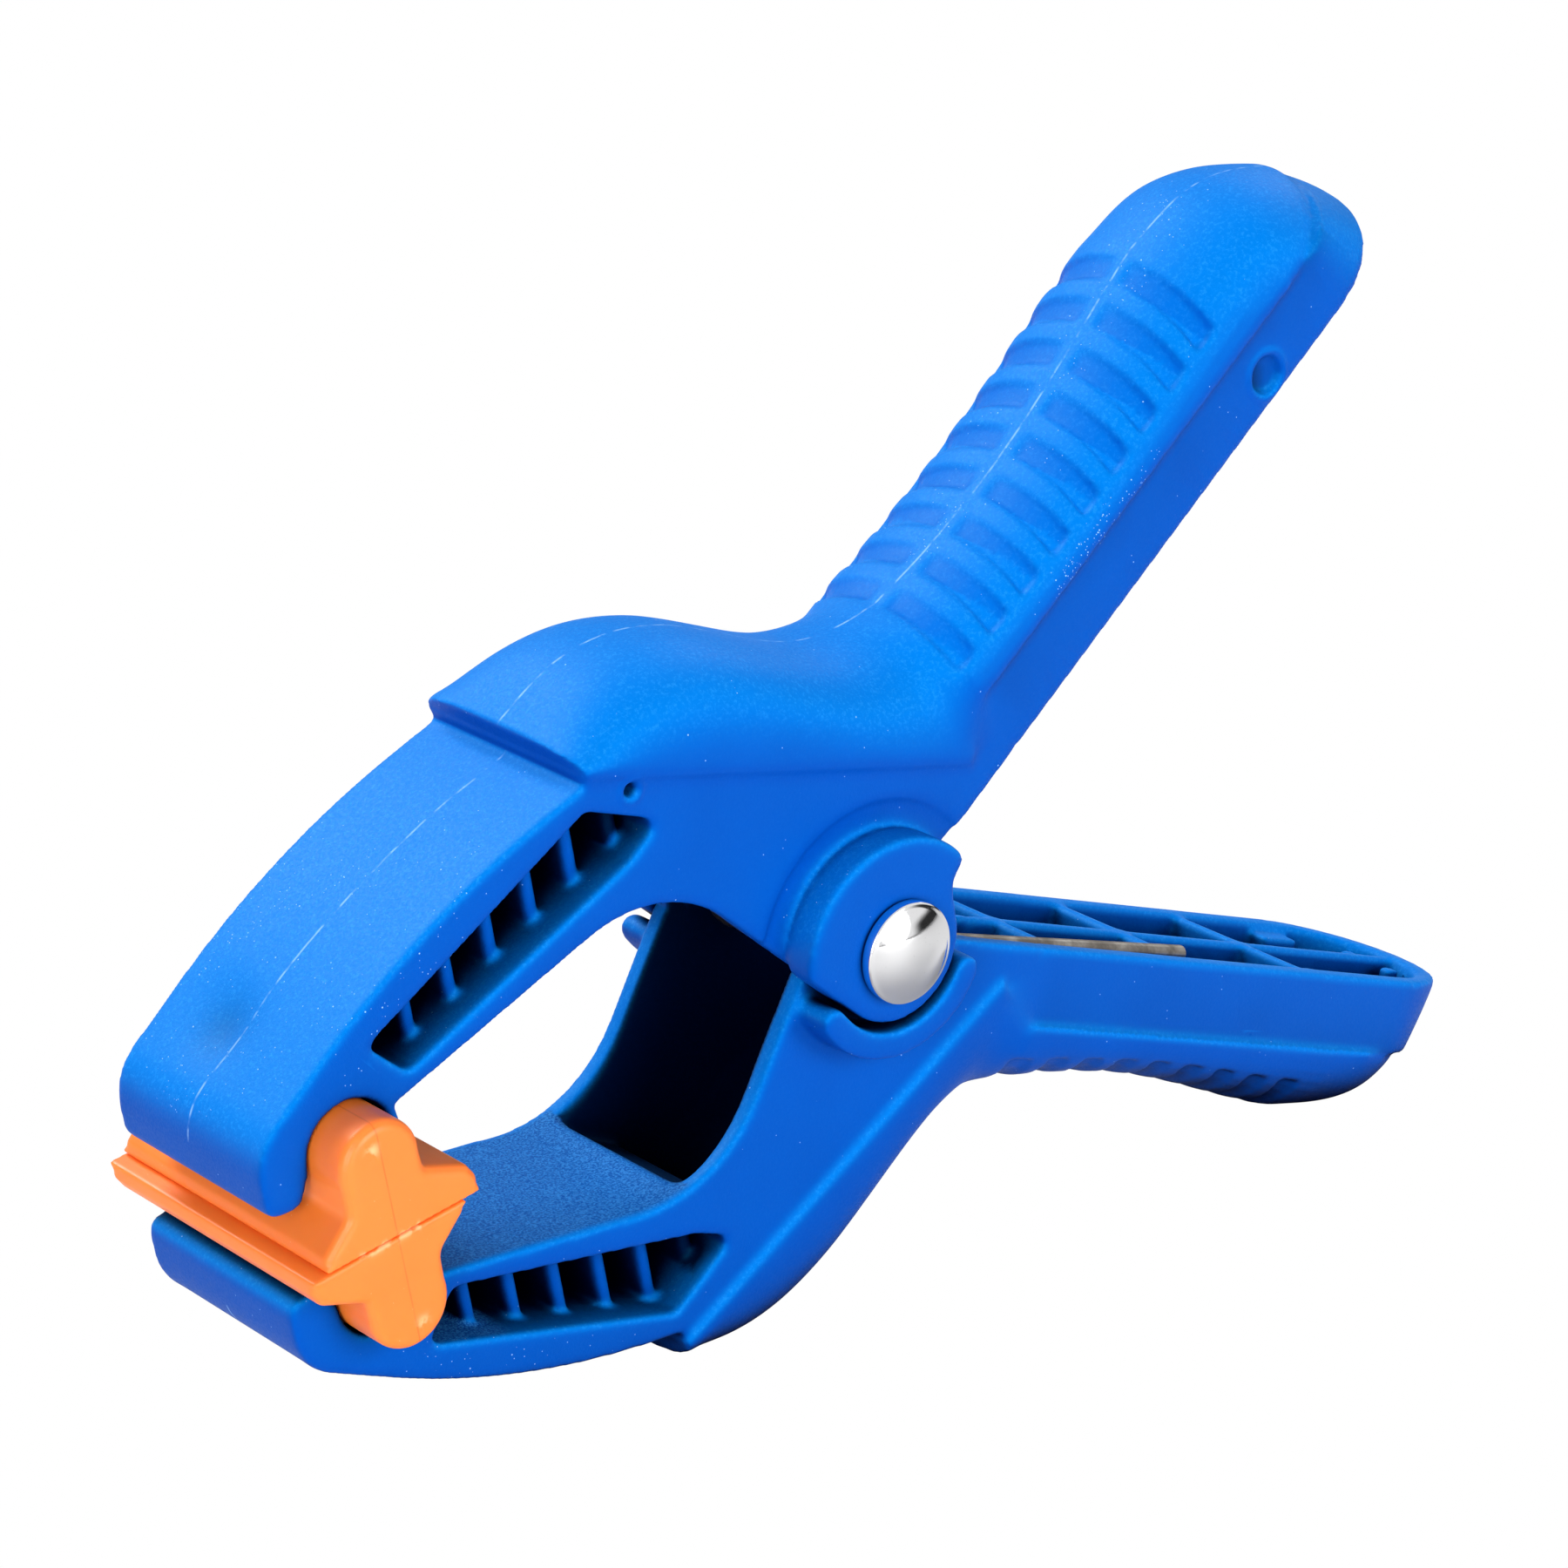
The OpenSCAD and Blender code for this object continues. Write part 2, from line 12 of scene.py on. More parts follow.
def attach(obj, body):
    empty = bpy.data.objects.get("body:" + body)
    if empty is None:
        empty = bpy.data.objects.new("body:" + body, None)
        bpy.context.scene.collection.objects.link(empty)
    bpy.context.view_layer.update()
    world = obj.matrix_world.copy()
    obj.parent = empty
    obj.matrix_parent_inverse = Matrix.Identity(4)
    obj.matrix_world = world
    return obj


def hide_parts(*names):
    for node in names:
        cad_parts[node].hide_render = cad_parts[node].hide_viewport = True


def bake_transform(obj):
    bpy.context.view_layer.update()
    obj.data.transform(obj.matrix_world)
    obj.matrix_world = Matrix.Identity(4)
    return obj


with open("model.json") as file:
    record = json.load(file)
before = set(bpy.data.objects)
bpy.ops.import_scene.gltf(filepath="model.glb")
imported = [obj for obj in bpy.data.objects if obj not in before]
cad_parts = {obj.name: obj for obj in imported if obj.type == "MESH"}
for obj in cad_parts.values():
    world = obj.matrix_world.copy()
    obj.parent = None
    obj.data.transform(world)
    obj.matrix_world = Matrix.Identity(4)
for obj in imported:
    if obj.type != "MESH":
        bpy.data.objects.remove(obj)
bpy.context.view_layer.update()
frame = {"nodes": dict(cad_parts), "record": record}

MM = 0.001
JOINTS = {j["name"]: j for j in frame["record"]["behaviour"]["joints"]}


def pivot_of(joint):
    return np.array(JOINTS[joint]["pos_m"]) / MM


# The side view of the clamp, in millimetres round the hinge pin: x from the
# jaws to the handles, z up from the closed jaws' centre plane
HINGE = pivot_of("jaw_hinge")
TO_JAWS = HINGE - (pivot_of("upper_pad_swivel") + pivot_of("lower_pad_swivel")) / 2
LEAN = math.atan2(TO_JAWS[2], TO_JAWS[0])

# Widths, in millimetres
HALF_W = 13.0
WALL = 2.5
INNER_W = HALF_W - WALL
GRIP_W = HALF_W + 0.7

# The handle: s along its rim, h above that rim
RIM = math.radians(29.7)
RIM_DROP = 0.7
FLANGE_H = 9.1
GRIP_S = 28.5
GRIP_POWER = 2.4
DOME_FROM = 78.9
ARCH_ANGLES = (0, 8, 16, 24, 25, 34, 44, 54, 64, 74, 82, 86.5, 87, 90)

# The step between the side wall and the shoulder, and the back of the jaw
STEP_A = np.array([-33.0, 34.4])
STEP_B = np.array([16.5, 13.7])
JAW_TIP = np.array([-79.0, 12.8])
JAW_BEND = np.array([-54.9, 28.3])
JAW_RIDGE = np.array([-32.9, 33.5])
JAW_RADIUS = 100.0
THROAT = (-34.5, 1.5)
THROAT_R = 17.0
FACET = math.radians(6)

# How fine the visual meshes are
ARM_VOXEL, ARM_VOXEL_QUICK = 0.34, 0.7
PAD_VOXEL, PAD_VOXEL_QUICK = 0.2, 0.5
ARM_TRIANGLES = 192000
MOULDED_ROUNDS, MOULDED_ROUNDS_QUICK = 90, 30


# ---------------------------------------------------------------- coordinates
def to_side(v, side=1):
    """Frame (m) to the side view (mm); side -1 turns the lower arm over."""
    p = v / MM - HINGE
    c, s = math.cos(LEAN), math.sin(LEAN)
    return np.stack([p[:, 0] * c + p[:, 2] * s, p[:, 1], side * (p[:, 2] * c - p[:, 0] * s)], 1)


def from_side(p, side=1):
    c, s = math.cos(LEAN), math.sin(LEAN)
    x, z = p[:, 0], side * p[:, 2]
    return (np.stack([x * c - z * s, p[:, 1], x * s + z * c], 1) + HINGE) * MM


def to_handle(p):
    """Side view to (s, y, h)."""
    x, z = p[:, 0], p[:, 2] + RIM_DROP
    c, s = math.cos(RIM), math.sin(RIM)
    return np.stack([x * c + z * s, p[:, 1], z * c - x * s], 1)


def from_handle(q):
    c, s = math.cos(RIM), math.sin(RIM)
    return np.stack([q[:, 0] * c - q[:, 2] * s, q[:, 1],
                     q[:, 0] * s + q[:, 2] * c - RIM_DROP], 1)


def ramp(x, a, b):
    t = np.clip((x - a) / (b - a), 0, 1)
    return t * t * (3 - 2 * t)


def bell(d, radius):
    return np.exp(-(d / radius) ** 2)


# ---------------------------------------------------------------- mesh helpers
def new_object(name, mesh):
    o = bpy.data.objects.new(name, mesh)
    bpy.context.scene.collection.objects.link(o)
    return o


def mesh_from(name, verts, faces):
    m = bpy.data.meshes.new(name)
    m.from_pydata([tuple(v) for v in verts], [], faces)
    m.update()
    return m


def copy_of(node, name):
    """A merged copy of a CAD node's mesh."""
    m = frame["nodes"][node].data.copy()
    m.name = name
    m.materials.clear()
    bm = bmesh.new()
    bm.from_mesh(m)
    bmesh.ops.remove_doubles(bm, verts=bm.verts, dist=1e-6)
    bm.to_mesh(m)
    bm.free()
    return new_object(name, m)


def with_modifier(o, kind, **settings):
    """Adds a modifier, and keeps its result as the object's plain mesh."""
    mod = o.modifiers.new(kind.lower(), kind)
    for k, value in settings.items():
        setattr(mod, k, value)
    bpy.context.view_layer.update()
    graph = bpy.context.evaluated_depsgraph_get()
    m = bpy.data.meshes.new_from_object(o.evaluated_get(graph), depsgraph=graph)
    o.modifiers.clear()
    o.data = m


def get_co(m):
    a = np.empty(len(m.vertices) * 3)
    m.vertices.foreach_get("co", a)
    return a.reshape(-1, 3)


def get_normals(m):
    a = np.empty(len(m.vertices) * 3, dtype=np.float32)
    m.vertex_normals.foreach_get("vector", a)
    return a.reshape(-1, 3)


def set_co(m, v):
    m.vertices.foreach_set("co", np.ascontiguousarray(v, dtype=np.float64).ravel())
    m.update()


def neighbours_mean(m, values):
    """For each vertex, the mean of the values at the far ends of its edges."""
    e = np.empty(len(m.edges) * 2, dtype=np.int32)
    m.edges.foreach_get("vertices", e)
    e = e.reshape(-1, 2)
    n = len(values)
    count = np.maximum(np.bincount(e.ravel(), minlength=n), 1)
    total = [np.bincount(e[:, 0], values[e[:, 1], k], n)
             + np.bincount(e[:, 1], values[e[:, 0], k], n) for k in range(values.shape[1])]
    return np.stack(total, 1) / count[:, None]


def relax(m, weight, rounds, factor=0.5):
    """Smooths each vertex by its own weight."""
    v = get_co(m)
    w = (weight * factor)[:, None]
    for _ in range(rounds):
        v += w * (neighbours_mean(m, v) - v)
    set_co(m, v)


def shade_smooth(m):
    m.polygons.foreach_set("use_smooth", np.ones(len(m.polygons), dtype=bool))
    m.update()


def attribute(m, name, values):
    a = m.attributes.new(name, "FLOAT", "POINT")
    a.data.foreach_set("value", np.asarray(values, dtype=np.float32))


def convexity(m):
    """0 on flat and hollow places, up to 1 on an outer edge."""
    v, n = get_co(m), get_normals(m)
    lap = neighbours_mean(m, v) - v
    bend = -(lap * n).sum(1) / (np.linalg.norm(lap, axis=1) + 0.12 * MM)
    for _ in range(2):
        bend = neighbours_mean(m, bend[:, None])[:, 0]
    return np.clip(bend * 1.6, 0, 1)


def ring_faces(rings, around):
    """Quads between closed rings of vertices, ring after ring."""
    return [(r * around + c, r * around + (c + 1) % around,
             (r + 1) * around + (c + 1) % around, (r + 1) * around + c)
            for r in range(rings - 1) for c in range(around)]


# ---------------------------------------------------------------- the arms
def cross2(a, b):
    return a[..., 0] * b[..., 1] - a[..., 1] * b[..., 0]


def on_arch(q):
    """Place on the grip's arch, as shares of its half width and of its rise."""
    crown_bins = np.arange(GRIP_S, DOME_FROM + 2, 1.0)
    mid = np.abs(q[:, 1]) < 0.6
    which = np.digitize(q[mid, 0], crown_bins)
    crown = np.array([q[mid, 2][which == k].max(initial=0) for k in range(1, len(crown_bins) + 1)])
    crown[crown == 0] = crown.max()
    rise = np.interp(q[:, 0], crown_bins + 0.5, crown) - FLANGE_H
    return np.abs(q[:, 1]) / GRIP_W, (q[:, 2] - FLANGE_H) / rise


def true_arch(q):
    """Takes the flats out of the grooved grip: the CAD arch has straight chords
    between its angles, and the real one is a smooth superellipse."""
    u, v = on_arch(q)
    a = np.radians(ARCH_ANGLES)
    corner = np.stack([np.maximum(np.cos(a), 0) ** (2 / GRIP_POWER), np.sin(a) ** (2 / GRIP_POWER)], 1)
    at = np.arctan2(corner[:, 1], corner[:, 0])
    phi = np.arctan2(v, u)
    k = np.clip(np.searchsorted(at, phi) - 1, 0, len(at) - 2)
    direction = np.stack([np.cos(phi), np.sin(phi)], 1)
    side = corner[k + 1] - corner[k]
    chord = cross2(corner[k], side) / cross2(direction, side)
    power = np.abs(direction) ** GRIP_POWER
    smooth = power.sum(1) ** (-1 / GRIP_POWER)
    level = np.hypot(u, v) / smooth
    w = (ramp(q[:, 0], GRIP_S, GRIP_S + 1) * (1 - ramp(q[:, 0], DOME_FROM - 1, DOME_FROM + 2))
         * ramp(level, 0.86, 0.89) * (v > 0.0))
    grow = (1 + w * (smooth / chord - 1))[:, None]
    q[:, 1:] = np.array([0, FLANGE_H]) + (q[:, 1:] - np.array([0, FLANGE_H])) * grow
    return from_handle(q)


def in_grooves(q):
    """1 at the floor of the finger grooves."""
    u, v = on_arch(q)
    sunk = 1 - (u ** GRIP_POWER + np.maximum(v, 0) ** GRIP_POWER) ** (1 / GRIP_POWER)
    grooved = ramp(q[:, 0], GRIP_S, GRIP_S + 1) * (1 - ramp(q[:, 0], DOME_FROM - 2, DOME_FROM))
    return grooved * ramp(v, 0.1, 0.2) * (sunk < 0.14) * ramp(sunk, 0.012, 0.055)


def true_back(p):
    """Takes the flats out of the jaw's back, a bend of a large radius."""
    def unit(a):
        return a / np.linalg.norm(a)
    one, two = unit(JAW_TIP - JAW_BEND), unit(JAW_RIDGE - JAW_BEND)
    half = math.acos(one @ two) / 2
    centre = JAW_BEND + unit(one + two) * JAW_RADIUS / math.sin(half)
    reach = JAW_RADIUS / math.tan(half)
    first, last = JAW_BEND + one * reach - centre, JAW_BEND + two * reach - centre
    start = math.atan2(first[1], first[0])
    turn = math.atan2(cross2(first, last), first @ last)
    step = turn / max(2, math.ceil(abs(turn) / FACET))
    d = p[:, [0, 2]] - centre
    r = np.hypot(d[:, 0], d[:, 1])
    along = (np.arctan2(d[:, 1], d[:, 0]) - start) / step
    inside = (along > 0) & (along < turn / step)
    off = (along - np.floor(along) - 0.5) * step
    chord = math.cos(step / 2) / np.cos(off)
    w = inside * ramp(r, JAW_RADIUS - 1.6, JAW_RADIUS - 1.0)
    p[:, [0, 2]] = centre + d * (1 + w * (1 / chord - 1))[:, None]
    return p


def smooth_parts(p, q):
    """1 where a moulded surface is plain and rounded, 0 at its edges and ribs."""
    off_centre = np.abs(p[:, 1])
    along = (STEP_B - STEP_A) / np.linalg.norm(STEP_B - STEP_A)
    above = cross2(along[None], p[:, [0, 2]] - STEP_A)
    shoulder = (ramp(above, 0.9, 3.2) * ramp(p[:, 0], -33.2, -30.5)
                * (1 - ramp(q[:, 0], GRIP_S - 2.2, GRIP_S - 0.4)) * (off_centre < GRIP_W + 1))
    dome = ramp(q[:, 0], DOME_FROM + 0.3, DOME_FROM + 3) * ramp(q[:, 2], FLANGE_H + 0.9, FLANGE_H + 3)
    tip = (1 - ramp(p[:, 0], -72, -66)) * ramp(p[:, 2], 7.5, 9.5) * (1 - ramp(off_centre, 11, 12.2)) * 0.6
    from_throat = np.hypot(p[:, 0] - THROAT[0], p[:, 2] - THROAT[1]) - THROAT_R
    throat = bell(from_throat, 1.2) * (1 - ramp(off_centre, 11.4, 12.4))
    rim = 0.12 * (q[:, 2] < 1.0) * (q[:, 0] > 16)
    outer = 0.06 * (off_centre > 11.8) * (q[:, 0] < GRIP_S)
    return np.clip(np.maximum.reduce([shoulder, dome, tip, 0.5 * throat, rim, outer]), 0, 1)


# Marks on the upper arm; the round ones as x, z and radius
SINK_MARK = np.array([-70.6, 3.2, 18.2])
SINK_DOWN = np.array([0.54, 0.0, -0.84])
SINK_DEPTH, SINK_R = 0.75, 4.2
PIN_HOLE = (-27.6, 30.6, 0.8)
DIMPLE = (65.4, 40.5, 2.2)
RIM_HEIGHT, RIM_WIDTH = 0.24, 0.4


def moulded_marks(p):
    """The upper arm's sink mark, and the raised rims of its pin hole and dimple."""
    d = p - SINK_MARK
    deep = (SINK_DEPTH * bell(np.linalg.norm(d, axis=1), SINK_R)
            + 0.18 * bell(np.linalg.norm(d - [3, 4, 1], axis=1), 3))
    p = p + SINK_DOWN * (deep * (np.abs(d @ SINK_DOWN) < 2.5))[:, None]
    for x, z, r in (PIN_HOLE, DIMPLE):
        away = np.hypot(p[:, 0] - x, p[:, 2] - z) - r
        rim = bell(away - 0.45, RIM_WIDTH) * (away > -0.1) * (p[:, 1] < 0.3 - HALF_W)
        p[:, 1] -= RIM_HEIGHT * rim
    return p


def scuffed(p, q, side):
    """Where handling has worn the surface pale."""
    near_side = (p[:, 1] < -INNER_W) * (side > 0)
    patch = bell((q[:, 0] - 50) / 9, 1) * bell((q[:, 2] - 10.2) / 1.3, 1) * near_side
    back = 0.2 * bell((p[:, 0] + 60) / 15, 1) * (p[:, 2] > 15) * (p[:, 0] < -34)
    crown = 0.25 * ramp(q[:, 0], 28, 34) * bell(p[:, 1] / 5, 1) * (q[:, 2] > 13)
    frost = 0.22 * bell(np.linalg.norm(p - SINK_MARK, axis=1) - 8, 3.5) * (side > 0)
    return np.clip(np.maximum.reduce([patch, back, crown, frost]), 0, 1)


def hollow_shade(p, n):
    """Near 1 inside the shoulder's hollow, round the spring, where little light comes."""
    place = ramp(p[:, 0], -29.6, -29.0) * (1 - ramp(p[:, 0], 10, 16)) * (p[:, 2] > -4) * (p[:, 2] < 34)
    between_walls = 1 - ramp(np.abs(p[:, 1]), INNER_W + 0.1, INNER_W + 0.7)
    return 0.93 * place * (between_walls * (1 - ramp(n[:, 2], 0.0, 0.25)))


def flange_shade(p, q):
    """The flange is darker right under the edge of the grip, which overhangs it."""
    below = FLANGE_H - q[:, 2]
    off_centre = np.abs(p[:, 1])
    side = ramp(q[:, 0], GRIP_S - 2, GRIP_S + 2) * (off_centre > INNER_W + 1.2) * ramp(below, -0.3, 0.25)
    side = side * (0.02 + 0.30 * np.exp(-np.maximum(below, 0) / 1.3)) * (off_centre < HALF_W + 0.4)
    # Painted shadow: darker round the foot of the grip's dome, at the handle's end
    foot = 0.2 * bell(below, 0.5) * ramp(q[:, 0], 88, 93)
    return np.maximum(side, foot)


def dimple_shade(p, side):
    """Shade in the upper arm's dimple, deeper towards the jaws."""
    x, z, r = DIMPLE
    inside = 1 - ramp(np.hypot(p[:, 0] - x, p[:, 2] - z) - r, -0.3, 0.15)
    return inside * (0.25 + 0.45 * ramp(x - p[:, 0], -0.6, 1.8)) * (p[:, 1] < 1.6 - HALF_W) * (side > 0)


def sink_shade(p, side):
    """Painted shade: a darker middle in the upper arm's sink mark."""
    return 0.28 * bell(np.linalg.norm(p - SINK_MARK, axis=1), 3.4) * (side > 0)


def jaw_floor(p, n):
    """1 on the coarse inner face of a jaw, behind the pad."""
    place = (p[:, 0] < -28.5) * (p[:, 0] > -64) * (p[:, 2] > 4) * (p[:, 2] < 22)
    return place * (1 - ramp(n[:, 2], -0.75, -0.5)) * (1 - ramp(np.abs(p[:, 1]), 11.6, 12.8))


# Small lugs inside the handle: [from s, to s, from y, to y, from h, to h]
LUGS = (
    (86.5, 92.5, 7.6, 11.0, 1.2, 6.0),
    (96.4, 98.4, 2.4, 4.2, 0.9, 6.0),
    (96.4, 98.4, -4.2, -2.4, 0.9, 6.0))
BOX_FACES = ((0, 1, 3, 2), (4, 6, 7, 5), (0, 4, 5, 1), (2, 3, 7, 6), (0, 2, 6, 4), (1, 5, 7, 3))


def with_lugs(o, side):
    """Adds the lugs to an arm as closed boxes that reach into its wall."""
    bm = bmesh.new()
    bm.from_mesh(o.data)
    for s0, s1, y0, y1, h0, h1 in LUGS:
        corners = np.array([(s, y, h) for s in (s0, s1) for y in (y0, y1) for h in (h0, h1)])
        verts = [bm.verts.new(v) for v in from_side(from_handle(corners), side)]
        faces = [bm.faces.new([verts[k] for k in loop]) for loop in BOX_FACES]
        bmesh.ops.recalc_face_normals(bm, faces=faces)
    bm.to_mesh(o.data)
    bm.free()


def arm(node, side):
    """An arm's finished moulding; side is 1 for the upper arm and -1 for the lower."""
    o = copy_of(node, node + "_moulding")
    with_lugs(o, side)
    voxel = ARM_VOXEL
    with_modifier(o, "REMESH", mode="VOXEL", voxel_size=voxel * MM)
    m = o.data
    relax(m, np.ones(len(m.vertices)), 5)
    p = true_back(to_side(get_co(m), side))
    p = true_arch(to_handle(p))
    set_co(m, from_side(p, side))
    p = to_side(get_co(m), side)
    relax(m, smooth_parts(p, to_handle(p)), MOULDED_ROUNDS)
    if side > 0:
        set_co(m, from_side(moulded_marks(to_side(get_co(m))), 1))
    with_modifier(o, "DECIMATE", ratio=min(1.0, ARM_TRIANGLES / (2.0 * len(m.polygons))))
    m = o.data
    shade_smooth(m)
    p = to_side(get_co(m), side)
    q = to_handle(p)
    attribute(m, "edge", convexity(m))
    attribute(m, "scuff", scuffed(p, q, side))
    n = to_side(get_normals(m) * MM + HINGE * MM, side)
    attribute(m, "crown", (n[:, 2] > 0.15) & (p[:, 2] > 6))
    # Painted light: near 1 where a face looks up at rest, towards the lamps above; it lightens the blue
    # there
    attribute(m, "topside", ramp(get_normals(m)[:, 2], -0.1, 0.6))
    # Painted shade, by place: in the shoulder's hollow, under the grip's edge, in the dimple and in the
    # sink mark
    attribute(m, "shade", np.maximum.reduce([hollow_shade(p, n), flange_shade(p, q), dimple_shade(p, side),
                                             sink_shade(p, side)]))
    # Marks the floors of the finger grooves, where the blue gets painted shade
    attribute(m, "groove", in_grooves(q))
    attribute(m, "coarse", jaw_floor(p, n))
    print(node, "faces", len(m.polygons))
    return o


# ---------------------------------------------------------------- the pads
PAD_ROUND = 1.2       # radius of the rounded edge of a pad's two ends


def end_outline(o):
    """The edges of a pad's flat end, as pairs of (x, z) in metres."""
    bm = bmesh.new()
    bm.from_mesh(o.data)
    end = max(v.co.y for v in bm.verts)
    pairs = [[(v.co.x, v.co.z) for v in e.verts] for e in bm.edges
             if all(abs(v.co.y - end) < 1e-6 for v in e.verts)
             and sum(abs(f.normal.y) > 0.9 for f in e.link_faces) == 1]
    bm.free()
    return np.array(pairs)


def pad(node, swivel):
    """A pad with rounded ends, whose parting face stays sharp; swivel is its joint."""
    o = copy_of(node, node + "_moulding")
    outline = end_outline(o)
    corners = to_side(np.array([[x, 0, z] for x, z in outline.reshape(-1, 2)]))
    from_parting = np.abs(corners[:, 2]).reshape(-1, 2)
    outline = outline[from_parting.max(1) > 0.5]
    voxel = PAD_VOXEL
    with_modifier(o, "REMESH", mode="VOXEL", voxel_size=voxel * MM)
    m = o.data
    relax(m, np.ones(len(m.vertices)), 2)
    v = get_co(m)
    r = PAD_ROUND * MM
    end = np.abs(v[:, 1]).max()
    from_end = np.maximum(end - np.abs(v[:, 1]), 0)
    near = np.nonzero(from_end < r)[0]
    best = np.full(len(near), 9.0)
    inward = np.zeros((len(near), 2))
    c = v[near][:, [0, 2]]
    for start, stop in outline:
        d = stop - start
        t = np.clip(((c - start) @ d) / (d @ d), 0, 1)
        off = c - (start + t[:, None] * d)
        dist = np.linalg.norm(off, axis=1)
        closer = dist < best
        best[closer] = dist[closer]
        inward[closer] = off[closer] / np.maximum(dist[closer], 1e-9)[:, None]
    flat = from_end[near] < 0.05 * MM
    depth = np.where(flat, best, 0.0)
    e = np.where(flat, 0.0, from_end[near])
    n = get_normals(m)[near][:, [0, 2]]
    sideways = -n / np.maximum(np.linalg.norm(n, axis=1), 1e-9)[:, None]
    inward = np.where(flat[:, None], inward, sideways)
    hit = (depth < r) & (e < r)
    arm_d, arm_e = depth - r, e - r
    length = np.maximum(np.hypot(arm_d, arm_e), 1e-12)
    new_d = np.where(hit, r + r * arm_d / length, depth)
    new_e = np.where(hit, r + r * arm_e / length, e)
    share = ramp(np.abs(to_side(v[near])[:, 2]), 0.15, 1.0)
    v[near, 0] += inward[:, 0] * (new_d - depth) * share
    v[near, 2] += inward[:, 1] * (new_d - depth) * share
    v[near, 1] = np.sign(v[near, 1]) * (end - from_end[near] - (new_e - from_end[near]) * share)
    set_co(m, v)
    relax(m, np.ones(len(m.vertices)), 2, 0.4)
    shade_smooth(m)
    p = to_side(get_co(m))
    bead = to_side(pivot_of(swivel)[None] * MM)[0]
    attribute(m, "across", p[:, 0] - bead[0])
    chip = bell(p[:, 2], 0.45) * (np.abs(p[:, 1]) > 17.9) * (np.abs(p[:, 0] - bead[0] + 1.0) < 3.8)
    turned = np.sign(bead[2])
    gate = bell(np.hypot(p[:, 0] - bead[0] + 0.84 * turned, p[:, 2] - bead[2] - 2.2 * turned), 0.7)
    attribute(m, "pale", np.maximum(chip, gate * (np.abs(p[:, 1]) > 18)))
    attribute(m, "edge", convexity(m))
    print(node, "faces", len(m.polygons))
    return o


# ---------------------------------------------------------------- spring and pin
WIRE_R = 1.0
COIL_R = 4.6
COIL_TURNS = 6
WIRE_H = 1.4          # height of the legs above the handle's rim
WIRE_Y = INNER_W - WIRE_R - 0.3
LEG_END = 55.0
LEG_LIFT = np.array([0.0, 1.8, -0.8])     # how far a leg's end lies from its straight path: s, y, h
KNEE_S = 11.0
KNEE_R = 4.0


def spring_path():
    """One leg, the coil and the other leg, in the side view."""
    knee = from_handle(np.array([[KNEE_S, 0, WIRE_H]]))[0][[0, 2]]
    end = from_handle(np.array([[LEG_END, 0, WIRE_H]]))[0][[0, 2]]
    leave = math.atan2(knee[1], knee[0]) + math.acos(COIL_R / np.linalg.norm(knee))
    off = COIL_R * np.array([math.cos(leave), math.sin(leave)])
    one, two = (end - knee) / np.linalg.norm(end - knee), (off - knee) / np.linalg.norm(off - knee)
    half = math.acos(one @ two) / 2
    mid = (one + two) / np.linalg.norm(one + two)
    centre = knee + mid * KNEE_R / math.sin(half)
    first = knee + one * KNEE_R / math.tan(half) - centre
    last = knee + two * KNEE_R / math.tan(half) - centre
    start = math.atan2(first[1], first[0])
    turn = math.atan2(cross2(first, last), first @ last)
    angles = [start + turn * i / 12 for i in range(13)]
    bend = [centre + KNEE_R * np.array([math.cos(a), math.sin(a)]) for a in angles]
    leg = [end + (bend[0] - end) * i / 8 for i in range(8)] + bend
    sweep = 2 * math.pi * (COIL_TURNS + 1) - 2 * leave
    turns = 40 * (COIL_TURNS + 1)
    coil = [(COIL_R * math.cos(-leave - sweep * i / turns), -WIRE_Y + 2 * WIRE_Y * i / turns,
             COIL_R * math.sin(-leave - sweep * i / turns)) for i in range(turns + 1)]
    reach = np.linalg.norm(end - leg[8])
    slope = [max(0.0, 1 - np.linalg.norm(c - end) / reach) for c in leg]
    up = (from_handle(LEG_LIFT[None]) - from_handle(np.zeros((1, 3))))[0]
    leg = [(c[0] + w * up[0], WIRE_Y - w * up[1], c[1] + w * up[2]) for c, w in zip(leg, slope)]
    lower = [(c[0], -c[1], -c[2]) for c in leg]
    upper = list(reversed(leg))
    return np.array(lower + coil + upper)


def tube_along(name, path, radius, sides=20):
    """A round tube along a path, made by Geometry Nodes and kept as a plain mesh."""
    curve = bpy.data.curves.new(name + "_path", "CURVE")
    curve.dimensions = "3D"
    spline = curve.splines.new("POLY")
    spline.points.add(len(path) - 1)
    spline.points.foreach_set("co", np.column_stack([path, np.ones(len(path))]).ravel())
    guide = new_object(name + "_path", curve)
    tree = bpy.data.node_groups.new(name + "_tube", "GeometryNodeTree")
    tree.interface.new_socket("Geometry", in_out="INPUT", socket_type="NodeSocketGeometry")
    tree.interface.new_socket("Geometry", in_out="OUTPUT", socket_type="NodeSocketGeometry")
    put = tree.nodes.new
    start, stop = put("NodeGroupInput"), put("NodeGroupOutput")
    circle = put("GeometryNodeCurvePrimitiveCircle")
    circle.inputs["Resolution"].default_value = sides
    circle.inputs["Radius"].default_value = radius
    sweep = put("GeometryNodeCurveToMesh")
    sweep.inputs["Fill Caps"].default_value = True
    tree.links.new(start.outputs[0], sweep.inputs["Curve"])
    tree.links.new(circle.outputs["Curve"], sweep.inputs["Profile Curve"])
    tree.links.new(sweep.outputs[0], stop.inputs[0])
    mod = guide.modifiers.new("tube", "NODES")
    mod.node_group = tree
    bpy.context.view_layer.update()
    graph = bpy.context.evaluated_depsgraph_get()
    m = bpy.data.meshes.new_from_object(guide.evaluated_get(graph), depsgraph=graph)
    bpy.data.objects.remove(guide)
    m.name = name
    shade_smooth(m)
    return new_object(name, m)


SHANK_R = 3.0
CAP_R = 5.75
CAP_EDGE = 1.3
CAP_DOME = 1.6
EDGE_ROUND = 0.45
SHANK_END = HALF_W + 4.6


